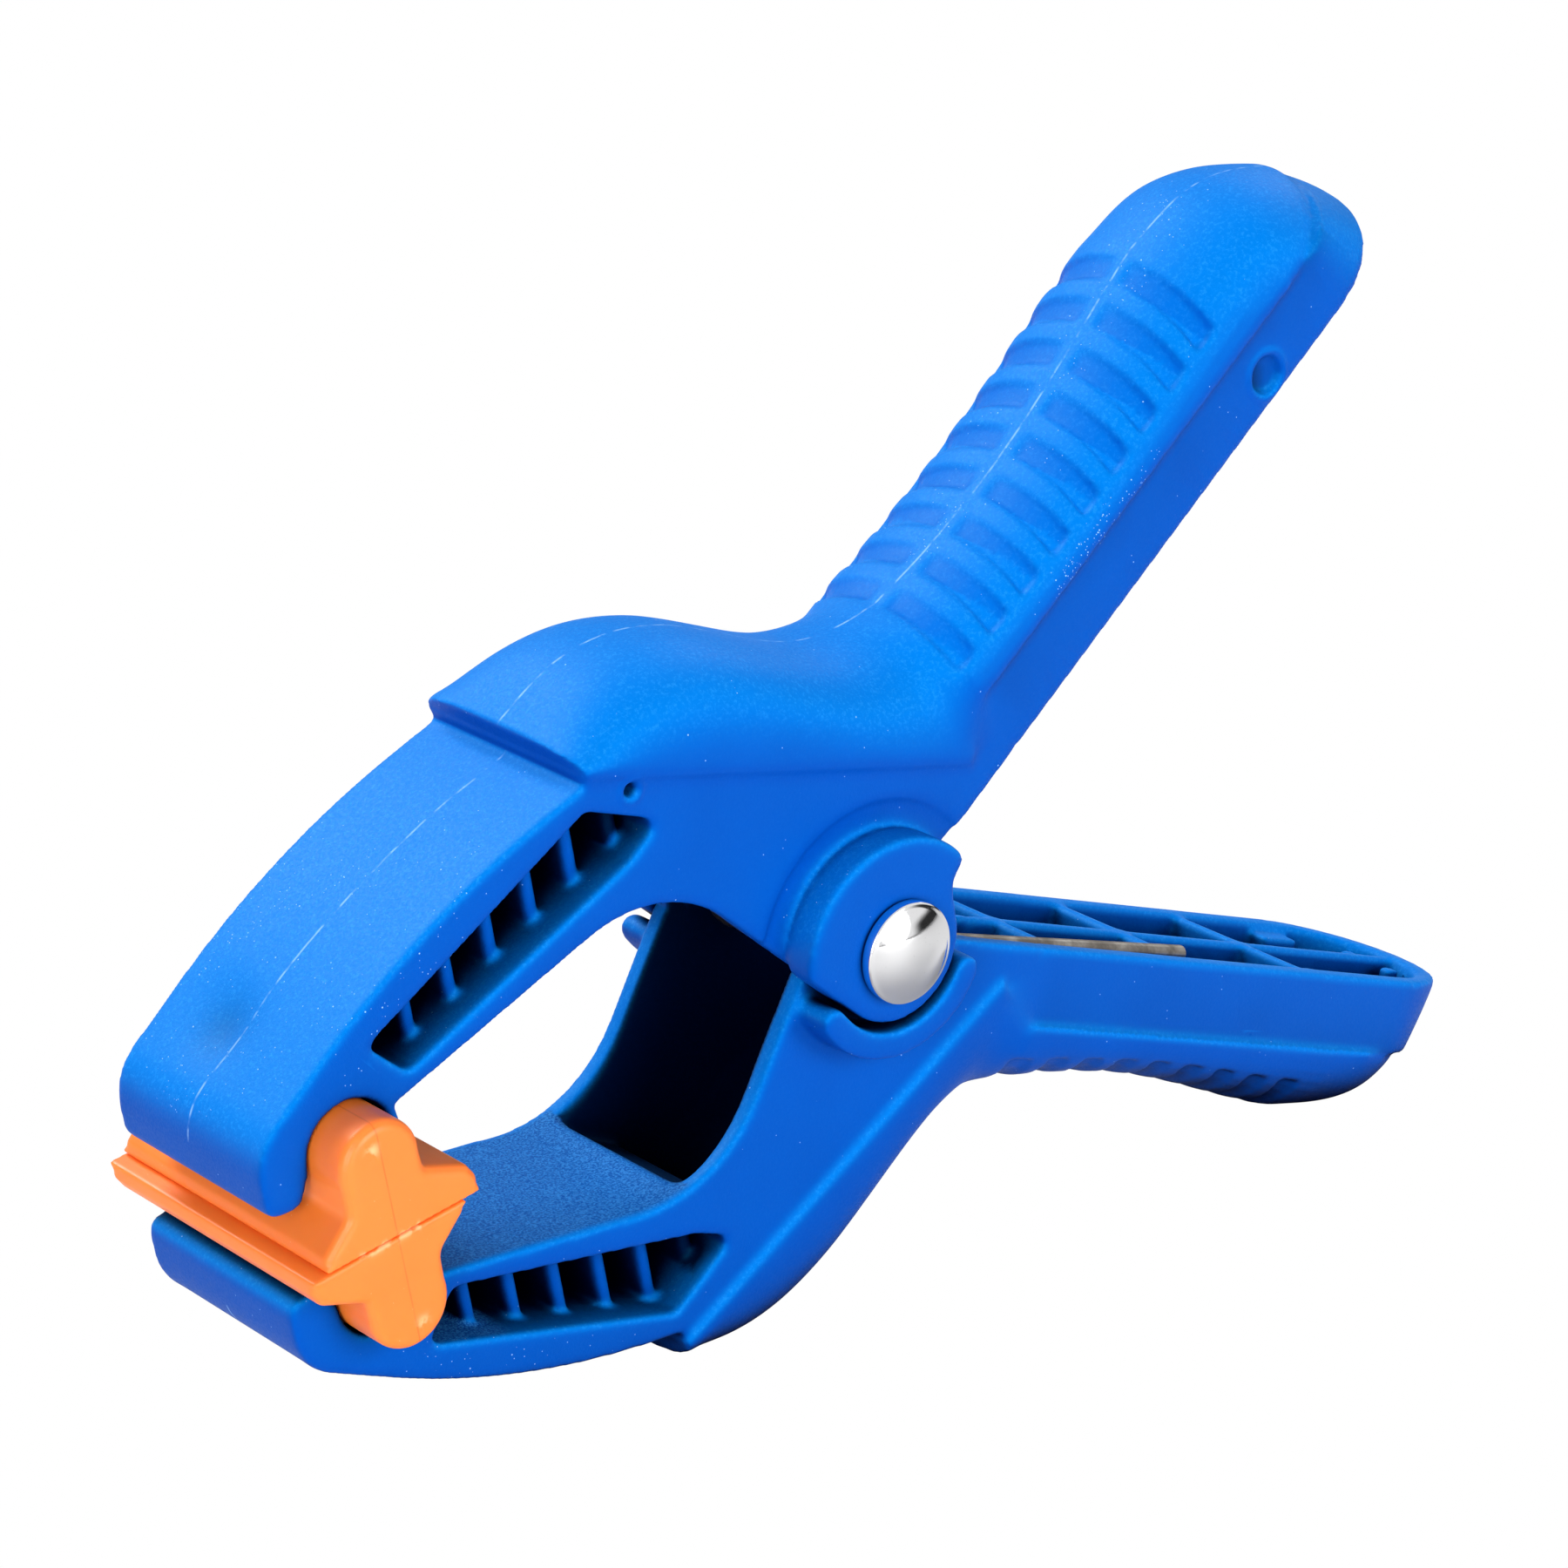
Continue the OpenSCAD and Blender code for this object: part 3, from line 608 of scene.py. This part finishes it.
def dome_profile():
    """Half section of a rivet head: [radius, height above its seat]."""
    ball = (CAP_R ** 2 + CAP_DOME ** 2) / (2 * CAP_DOME)
    top = [(ball * math.sin(a), CAP_EDGE + CAP_DOME - ball + ball * math.cos(a))
           for a in np.linspace(0, math.asin((CAP_R - EDGE_ROUND) / ball), 24)]
    rim = [(CAP_R - EDGE_ROUND + EDGE_ROUND * math.sin(a),
            top[-1][1] - EDGE_ROUND * 0.8 * (1 - math.cos(a))) for a in np.linspace(0.5, math.pi / 2, 8)]
    foot = [(CAP_R, 0.35), (CAP_R - 0.1, 0.1), (CAP_R - 0.35, 0.0)]
    return np.array(top + rim + foot)


def lathe(name, profile, seat, out, around=128):
    """Turns a profile round the hinge axis; out is -1 or 1, away from the clamp."""
    a = np.linspace(0, 2 * math.pi, around, endpoint=False)
    rows = [np.stack([HINGE[0] + r * np.cos(a), np.full(around, seat + out * h),
                      HINGE[2] + r * np.sin(a)], 1) for r, h in profile]
    verts = np.concatenate(rows) * MM
    bm = bmesh.new()
    bm.from_mesh(mesh_from(name, verts, ring_faces(len(profile), around)))
    bmesh.ops.remove_doubles(bm, verts=bm.verts, dist=1e-7)
    bmesh.ops.holes_fill(bm, edges=bm.edges, sides=around + 1)
    bmesh.ops.recalc_face_normals(bm, faces=bm.faces)
    m = bpy.data.meshes.new(name)
    bm.to_mesh(m)
    bm.free()
    shade_smooth(m)
    return new_object(name, m)


def joined(name, parts):
    """One object from several, which are removed."""
    bm = bmesh.new()
    for o in parts:
        bm.from_mesh(o.data)
    m = bpy.data.meshes.new(name)
    bm.to_mesh(m)
    bm.free()
    for o in parts:
        bpy.data.objects.remove(o)
    return new_object(name, m)


# ---------------------------------------------------------------- shaders
class Nodes:
    """Short calls for building a shader tree."""

    def __init__(self, tree):
        self.tree = tree

    def put(self, kind, inputs=None, **settings):
        n = self.tree.nodes.new("ShaderNode" + kind)
        for k, value in settings.items():
            setattr(n, k, value)
        for k, value in (inputs or {}).items():
            if isinstance(value, bpy.types.NodeSocket):
                self.tree.links.new(value, n.inputs[k])
            else:
                n.inputs[k].default_value = value
        return n

    def math(self, operation, a, b=0.0, clamp=False):
        return self.put("Math", {0: a, 1: b}, operation=operation, use_clamp=clamp).outputs[0]

    def blend(self, factor, a, b):
        return self.put("Mix", {0: factor, 6: a, 7: b}, data_type="RGBA").outputs[2]

    def span(self, value, low, high, to_low=0.0, to_high=1.0):
        return self.put("MapRange", {0: value, 1: low, 2: high, 3: to_low, 4: to_high},
                        interpolation_type="SMOOTHSTEP").outputs[0]

    def noise(self, at, scale, detail=2.0, roughness=0.5):
        return self.put("TexNoise", {"Vector": at, "Scale": scale, "Detail": detail,
                                     "Roughness": roughness}).outputs["Fac"]

    def cells(self, at, scale):
        return self.put("TexVoronoi", {"Vector": at, "Scale": scale})

    def attribute(self, name):
        return self.put("Attribute", attribute_name=name).outputs["Fac"]


def shader_group(name, inputs, outputs):
    tree = bpy.data.node_groups.new(name, "ShaderNodeTree")
    for label, kind, value in inputs:
        s = tree.interface.new_socket(label, in_out="INPUT", socket_type=kind)
        if value is not None:
            s.default_value = value
    for label, kind in outputs:
        tree.interface.new_socket(label, in_out="OUTPUT", socket_type=kind)
    n = Nodes(tree)
    return n, tree.nodes.new("NodeGroupInput").outputs, tree.nodes.new("NodeGroupOutput").inputs


def grain_group():
    """Fine moulded grain: a bumped normal and its height."""
    n, i, o = shader_group("moulded_grain", [
        ("Vector", "NodeSocketVector", None), ("Size", "NodeSocketFloat", 3000.0),
        ("Strength", "NodeSocketFloat", 0.15)],
        [("Normal", "NodeSocketVector"), ("Height", "NodeSocketFloat")])
    fine = n.noise(i["Vector"], i["Size"], 3.0, 0.6)
    wave = n.noise(i["Vector"], n.math("MULTIPLY", i["Size"], 0.06), 2.0)
    height = n.math("ADD", n.math("MULTIPLY", fine, 0.8), n.math("MULTIPLY", wave, 0.5))
    bump = n.put("Bump", {"Strength": i["Strength"], "Distance": 0.0001, "Height": height})
    n.tree.links.new(bump.outputs[0], o["Normal"])
    n.tree.links.new(fine, o["Height"])
    return n.tree


def fleck_group():
    """Small pale specks, single and in drifts."""
    n, i, o = shader_group("pale_flecks", [
        ("Vector", "NodeSocketVector", None), ("Amount", "NodeSocketFloat", 0.2)],
        [("Mask", "NodeSocketFloat")])
    total = None
    for scale, size in ((1500.0, 0.17), (3000.0, 0.24)):
        c = n.cells(i["Vector"], scale)
        dot = n.span(c.outputs["Distance"], size, size * 0.4)
        chance = n.put("SeparateColor", {0: c.outputs["Color"]}).outputs[0]
        drift = n.noise(i["Vector"], scale * 0.05, 3.0)
        limit = n.math("MULTIPLY", i["Amount"], n.span(drift, 0.35, 0.75, 0.1, 1.6))
        kept = n.math("LESS_THAN", chance, limit)
        one = n.math("MULTIPLY", dot, kept)
        total = one if total is None else n.math("MAXIMUM", total, one)
    n.tree.links.new(total, o["Mask"])
    return n.tree


def scratch_group():
    """A few hairline scratches, in one direction."""
    n, i, o = shader_group("hairlines", [
        ("Vector", "NodeSocketVector", None), ("Amount", "NodeSocketFloat", 0.3)],
        [("Mask", "NodeSocketFloat")])
    turned = n.put("Mapping", {"Vector": i["Vector"], "Rotation": (0.5, 0.7, 0.4),
                               "Scale": (60.0, 1500.0, 900.0)}).outputs[0]
    c = n.cells(turned, 1.0)
    line = n.span(c.outputs["Distance"], 0.10, 0.03)
    chance = n.put("SeparateColor", {0: c.outputs["Color"]}).outputs[1]
    kept = n.math("LESS_THAN", chance, i["Amount"])
    n.tree.links.new(n.math("MULTIPLY", line, kept), o["Mask"])
    return n.tree


GRAIN, FLECKS, HAIRLINES = grain_group(), fleck_group(), scratch_group()


def new_material(name):
    mat = bpy.data.materials.new(name)
    mat.use_nodes = True
    n = Nodes(mat.node_tree)
    at = n.put("TexCoord").outputs["Object"]
    return mat, n, at, mat.node_tree.nodes["Principled BSDF"]


def use(n, group, **inputs):
    """Puts a node group in a material, and gives its outputs."""
    g = n.tree.nodes.new("ShaderNodeGroup")
    g.node_tree = group
    for k, value in inputs.items():
        if isinstance(value, bpy.types.NodeSocket):
            n.tree.links.new(value, g.inputs[k])
        else:
            g.inputs[k].default_value = value
    return g.outputs


def set_inputs(n, bsdf, **inputs):
    """Sets or links a shader's sockets, with _ for a space in their names."""
    for k, value in inputs.items():
        k = k.replace("_", " ")
        if isinstance(value, bpy.types.NodeSocket):
            n.tree.links.new(value, bsdf.inputs[k])
        else:
            bsdf.inputs[k].default_value = value


def blue_plastic():
    """Grained nylon with specks, a parting line, pale edges that are partly wear and partly a painted
    sheen, painted light and sheen on its upward faces, and painted shade in recesses and grooves.
    """
    mat, n, at, bsdf = new_material("blue_nylon")
    edge, scuff, crown = n.attribute("edge"), n.attribute("scuff"), n.attribute("crown")
    mottle = n.noise(at, 70.0, 4.0)
    grain = use(n, GRAIN, Vector=at, Size=3200.0, Strength=0.32)
    flecks = use(n, FLECKS, Vector=at, Amount=n.span(scuff, 0.0, 1.0, 0.008, 1.3))["Mask"]
    lines = use(n, HAIRLINES, Vector=at, Amount=0.012)["Mask"]
    across = n.put("SeparateXYZ", {0: at}).outputs["Y"]
    wander = n.math("MULTIPLY", n.math("SUBTRACT", n.noise(at, 160.0), 0.5), 0.0003)
    seam = n.span(n.math("ABSOLUTE", n.math("ADD", across, wander)), 0.0002, 0.00006)
    broken = n.span(n.noise(at, 420.0, 3.0), 0.42, 0.6)
    seam = n.math("MULTIPLY", n.math("MULTIPLY", seam, crown), broken)
    # Painted sheen and wear: convex edges turn a pale blue, partly worn pale and partly the sheen of light
    # along them
    edge_wear_and_sheen = n.math("MULTIPLY", n.span(edge, 0.25, 0.9), n.span(n.noise(at, 500.0, 3.0), 0.35, 0.7))
    # Painted light: the blue goes from a shaded tone on the sides to a lit tone on faces that look up
    dark, light = n.blend(mottle, (0.0, 0.056, 0.38, 1), (0.0, 0.077, 0.465, 1)), (0.0, 0.20, 0.72, 1)
    base = n.blend(n.math("MULTIPLY", n.attribute("topside"), 0.8), dark, light)
    # Painted sheen: a pale grainy sheen, faint on the sides and strongest on faces that look up at the
    # light
    pale_grain_and_top_sheen = n.math("MULTIPLY", n.span(n.noise(at, 2300.0, 3.0, 0.75), 0.46, 0.72),
                      n.span(n.attribute("topside"), 0.2, 1.0, 0.02, 0.28))
    base = n.blend(pale_grain_and_top_sheen, base, (0.03, 0.38, 0.92, 1))
    # Painted shade: the floors of the finger grooves darker, where shade falls in them
    base = n.blend(n.math("MULTIPLY", n.attribute("groove"), 0.42), base, (0.0, 0.08, 0.50, 1))
    base = n.blend(n.math("MULTIPLY", edge_wear_and_sheen, 0.5), base, (0.004, 0.32, 0.95, 1))
    pale = n.math("MAXIMUM", flecks, n.math("MAXIMUM", n.math("MULTIPLY", lines, 0.6),
                                             n.math("MULTIPLY", seam, 0.6)), clamp=True)
    base = n.blend(n.math("MULTIPLY", pale, 0.75), base, (0.38, 0.68, 1.0, 1))
    # Painted shade: the blue goes near black where other surfaces hem it in
    open_air = n.put("AmbientOcclusion", {"Distance": 0.03}, samples=8).outputs["AO"]
    base = n.blend(n.span(open_air, 0.14, 0.68), (0.0, 0.0005, 0.012, 1), base)
    # Painted shade from the shade attribute
    base = n.blend(n.attribute("shade"), base, (0.0, 0.0005, 0.010, 1))
    speckle = n.span(n.noise(at, 3600.0, 2.0, 0.7), 0.40, 0.62)
    frost = n.blend(speckle, (0.0, 0.045, 0.26, 1), (0.03, 0.20, 0.56, 1))
    # The jaw floor's coarse grain goes on top of the painted shade above and mostly covers it there
    base = n.blend(n.math("MULTIPLY", n.attribute("coarse"), 0.8), base, frost)
    rough = n.math("ADD", n.span(grain["Height"], 0.3, 0.7, 0.42, 0.56), n.math("MULTIPLY", mottle, 0.06))
    shine = n.span(open_air, 0.15, 0.7, 0.0, 0.16)
    set_inputs(n, bsdf, Base_Color=base, Roughness=rough, Normal=grain["Normal"],
               Specular_IOR_Level=shine, Specular_Tint=(0.04, 0.75, 1.0, 1))
    return mat


def orange_plastic():
    """Smooth soft plastic with the mould's crease across its ends."""
    mat, n, at, bsdf = new_material("orange_soft_plastic")
    crease = n.span(n.math("ABSOLUTE", n.attribute("across")), 0.14, 0.04)
    crease = n.math("MULTIPLY", crease, n.span(n.noise(at, 300.0), 0.3, 0.5, 0.4, 1.0))
    grain = use(n, GRAIN, Vector=at, Size=1500.0, Strength=0.05)
    flecks = use(n, FLECKS, Vector=at, Amount=0.02)["Mask"]
    base = n.blend(n.noise(at, 90.0, 3.0), (1.0, 0.195, 0.024, 1), (1.0, 0.24, 0.036, 1))
    # Painted sheen and wear: convex edges turn a paler orange, partly worn and partly the sheen of light
    # along them
    edge_wear_and_sheen = n.math("MULTIPLY", n.span(n.attribute("edge"), 0.3, 0.9), 0.25)
    base = n.blend(edge_wear_and_sheen, base, (1.0, 0.42, 0.12, 1))
    base = n.blend(n.math("MULTIPLY", crease, 0.45), base, (0.62, 0.09, 0.01, 1))
    worn = n.math("MULTIPLY", n.attribute("pale"), n.span(n.noise(at, 700.0, 3.0), 0.44, 0.58))
    base = n.blend(n.math("MAXIMUM", n.math("MULTIPLY", flecks, 0.5), n.math("MULTIPLY", worn, 0.7)), base,
                   (1.0, 0.6, 0.3, 1))
    set_inputs(n, bsdf, Base_Color=base, Roughness=n.span(n.noise(at, 240.0), 0.3, 0.7, 0.34, 0.44),
               Normal=grain["Normal"], Specular_IOR_Level=0.4,
               Subsurface_Weight=0.2, Subsurface_Scale=0.001, Subsurface_Radius=(1.0, 0.3, 0.1))
    return mat


def spring_steel():
    """Drawn wire, darker in patches."""
    mat, n, at, bsdf = new_material("spring_wire")
    patch = n.noise(at, 260.0, 4.0, 0.6)
    grain = use(n, GRAIN, Vector=at, Size=5200.0, Strength=0.12)
    base = n.blend(n.span(patch, 0.35, 0.7), (0.17, 0.15, 0.13, 1), (0.46, 0.43, 0.39, 1))
    set_inputs(n, bsdf, Base_Color=base, Metallic=1.0, Roughness=n.span(patch, 0.3, 0.7, 0.46, 0.3),
               Normal=grain["Normal"])
    return mat


def bright_plate():
    """Bright plating with faint pits and hairline scratches."""
    mat, n, at, bsdf = new_material("bright_plate")
    pits = use(n, FLECKS, Vector=at, Amount=0.16)["Mask"]
    lines = use(n, HAIRLINES, Vector=at, Amount=0.05)["Mask"]
    grain = use(n, GRAIN, Vector=at, Size=1400.0, Strength=0.05)
    base = n.blend(n.math("MULTIPLY", pits, 0.5), (0.93, 0.93, 0.94, 1), (0.5, 0.5, 0.52, 1))
    rough = n.math("ADD", n.math("MULTIPLY", n.math("MAXIMUM", pits, lines), 0.14), 0.07)
    set_inputs(n, bsdf, Base_Color=base, Metallic=1.0, Roughness=rough, Normal=grain["Normal"])
    return mat


# ---------------------------------------------------------------- the pieces
def finish(o, node, material, body=None):
    o.data.materials.clear()
    o.data.materials.append(material)
    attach(o, body or node)
    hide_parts(node)


BLUE, ORANGE, STEEL, PLATE = blue_plastic(), orange_plastic(), spring_steel(), bright_plate()
for cad, paint in (("upper_arm", BLUE), ("lower_arm", BLUE), ("upper_pad", ORANGE), ("lower_pad", ORANGE),
                   ("torsion_spring", STEEL), ("pivot_pin", PLATE), ("pin_cap", PLATE)):
    body = frame["nodes"][cad]
    if not body.material_slots:
        body.data.materials.append(paint)
    for s in body.material_slots:
        s.link = "OBJECT"
        s.material = paint

finish(arm("upper_arm", 1), "upper_arm", BLUE)
finish(arm("lower_arm", -1), "lower_arm", BLUE)
finish(pad("upper_pad", "upper_pad_swivel"), "upper_pad", ORANGE)
finish(pad("lower_pad", "lower_pad_swivel"), "lower_pad", ORANGE)

spring = tube_along("torsion_spring_wire", from_side(spring_path()), WIRE_R * MM)
spring.data.materials.append(STEEL)
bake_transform(spring)
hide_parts("torsion_spring")

head = lathe("rivet_head", dome_profile(), -SHANK_END, -1)
shank_len = 2 * SHANK_END + 1
shank = lathe("rivet_shank", [(0.0, 0.0), (SHANK_R, 0.0), (SHANK_R, shank_len), (0.0, shank_len)],
              -SHANK_END, 1, 64)
finish(joined("rivet", [head, shank]), "pivot_pin", PLATE, "lower_arm")
finish(lathe("rivet_cap", dome_profile(), SHANK_END, 1), "pin_cap", PLATE, "lower_arm")

# ---------------------------------------------------------------- studio
scene = bpy.context.scene
scene.view_settings.view_transform = "Standard"


def floor():
    """Pale to the light that falls on it, plain white to the camera."""
    half, z = 4.0, -0.0001
    corners = [(-half, -half, z), (half, -half, z), (half, half, z), (-half, half, z)]
    o = new_object("floor", mesh_from("floor", corners, [(0, 1, 2, 3)]))
    mat = bpy.data.materials.new("floor_white")
    mat.use_nodes = True
    n = Nodes(mat.node_tree)
    bsdf = mat.node_tree.nodes["Principled BSDF"]
    set_inputs(n, bsdf, Roughness=0.7)
    path = n.put("LightPath").outputs
    shade = n.blend(path["Is Glossy Ray"], (0.86, 0.86, 0.86, 1), (0.6, 0.6, 0.6, 1))
    set_inputs(n, bsdf, Base_Color=shade)
    white = n.put("Emission", {"Strength": 1.0})
    mix = n.put("MixShader", {0: path["Is Camera Ray"], 1: bsdf.outputs[0], 2: white.outputs[0]})
    n.tree.links.new(mix.outputs[0], mat.node_tree.nodes["Material Output"].inputs["Surface"])
    o.data.materials.append(mat)


def sky():
    """White to the camera; a soft, low light with a dark horizon to everything else."""
    world = bpy.data.worlds.new("studio")
    scene.world = world
    world.use_nodes = True
    n = Nodes(world.node_tree)
    way = n.put("SeparateXYZ", {0: n.put("TexCoord").outputs["Generated"]}).outputs
    low = n.span(n.math("ABSOLUTE", way["Z"]), 0.25, 0.08)
    grey = n.span(n.math("MULTIPLY", low, n.span(way["X"], 0.45, 0.75)), 0.0, 1.0, 1.0, 0.03)
    grey = n.math("MULTIPLY", grey, n.span(way["Y"], -0.2, 0.3, 1.0, 0.5))
    path = n.put("LightPath").outputs
    level = n.put("Mix", {0: path["Is Glossy Ray"], 2: 0.2, 3: 0.8}, data_type="FLOAT").outputs[0]
    soft = n.put("Background", {"Color": (1, 1, 1, 1), "Strength": n.math("MULTIPLY", grey, level)})
    white = n.put("Background", {"Color": (1, 1, 1, 1), "Strength": 1.0})
    mix = n.put("MixShader", {0: path["Is Camera Ray"], 1: soft.outputs[0], 2: white.outputs[0]})
    n.tree.links.new(mix.outputs[0], world.node_tree.nodes["World Output"].inputs["Surface"])


def area(name, place, target, size, power):
    lamp = bpy.data.lights.new(name, "AREA")
    lamp.shape = "DISK"
    lamp.size = size
    lamp.energy = power
    o = bpy.data.objects.new(name, lamp)
    scene.collection.objects.link(o)
    o.location = place
    o.rotation_euler = (Vector(target) - Vector(place)).to_track_quat("-Z", "Y").to_euler()


# The camera's axes and place in the side view, in millimetres
CAM_ROWS = np.array([[0.7546, -0.6410, -0.1404], [-0.3987, -0.2779, -0.8740], [0.5212, 0.7155, -0.4652]])
CAM_PLACE = np.array([-284.60, -392.02, 269.07])
FOCAL_PIXELS = 5830.6
IMAGE_PIXELS = 1800


def camera():
    data = bpy.data.cameras.new("camera")
    data.sensor_width = 36
    data.lens = data.sensor_width * FOCAL_PIXELS / IMAGE_PIXELS
    o = bpy.data.objects.new("camera", data)
    scene.collection.objects.link(o)
    c, s = math.cos(LEAN), math.sin(LEAN)
    tilt = Matrix(((c, 0, -s), (0, 1, 0), (s, 0, c)))
    right, down, forward = (tilt @ Vector(r) for r in CAM_ROWS)
    turn = Matrix((right, -down, -forward)).transposed().to_4x4()
    place = from_side(CAM_PLACE[None])[0]
    o.matrix_world = Matrix.Translation(Vector(place)) @ turn
    scene.camera = o


floor()
sky()
area("key", (-0.25, 0.85, 0.95), (0, 0, 0.05), 0.8, 18)
area("front", (0.2, -1.2, 0.4), (0, 0, 0.05), 0.9, 12.5)
area("left", (-1.0, -0.7, 0.4), (0, 0, 0.05), 0.7, 9)
area("back", (0.9, 0.4, 0.7), (0, 0, 0.05), 0.6, 2)
camera()
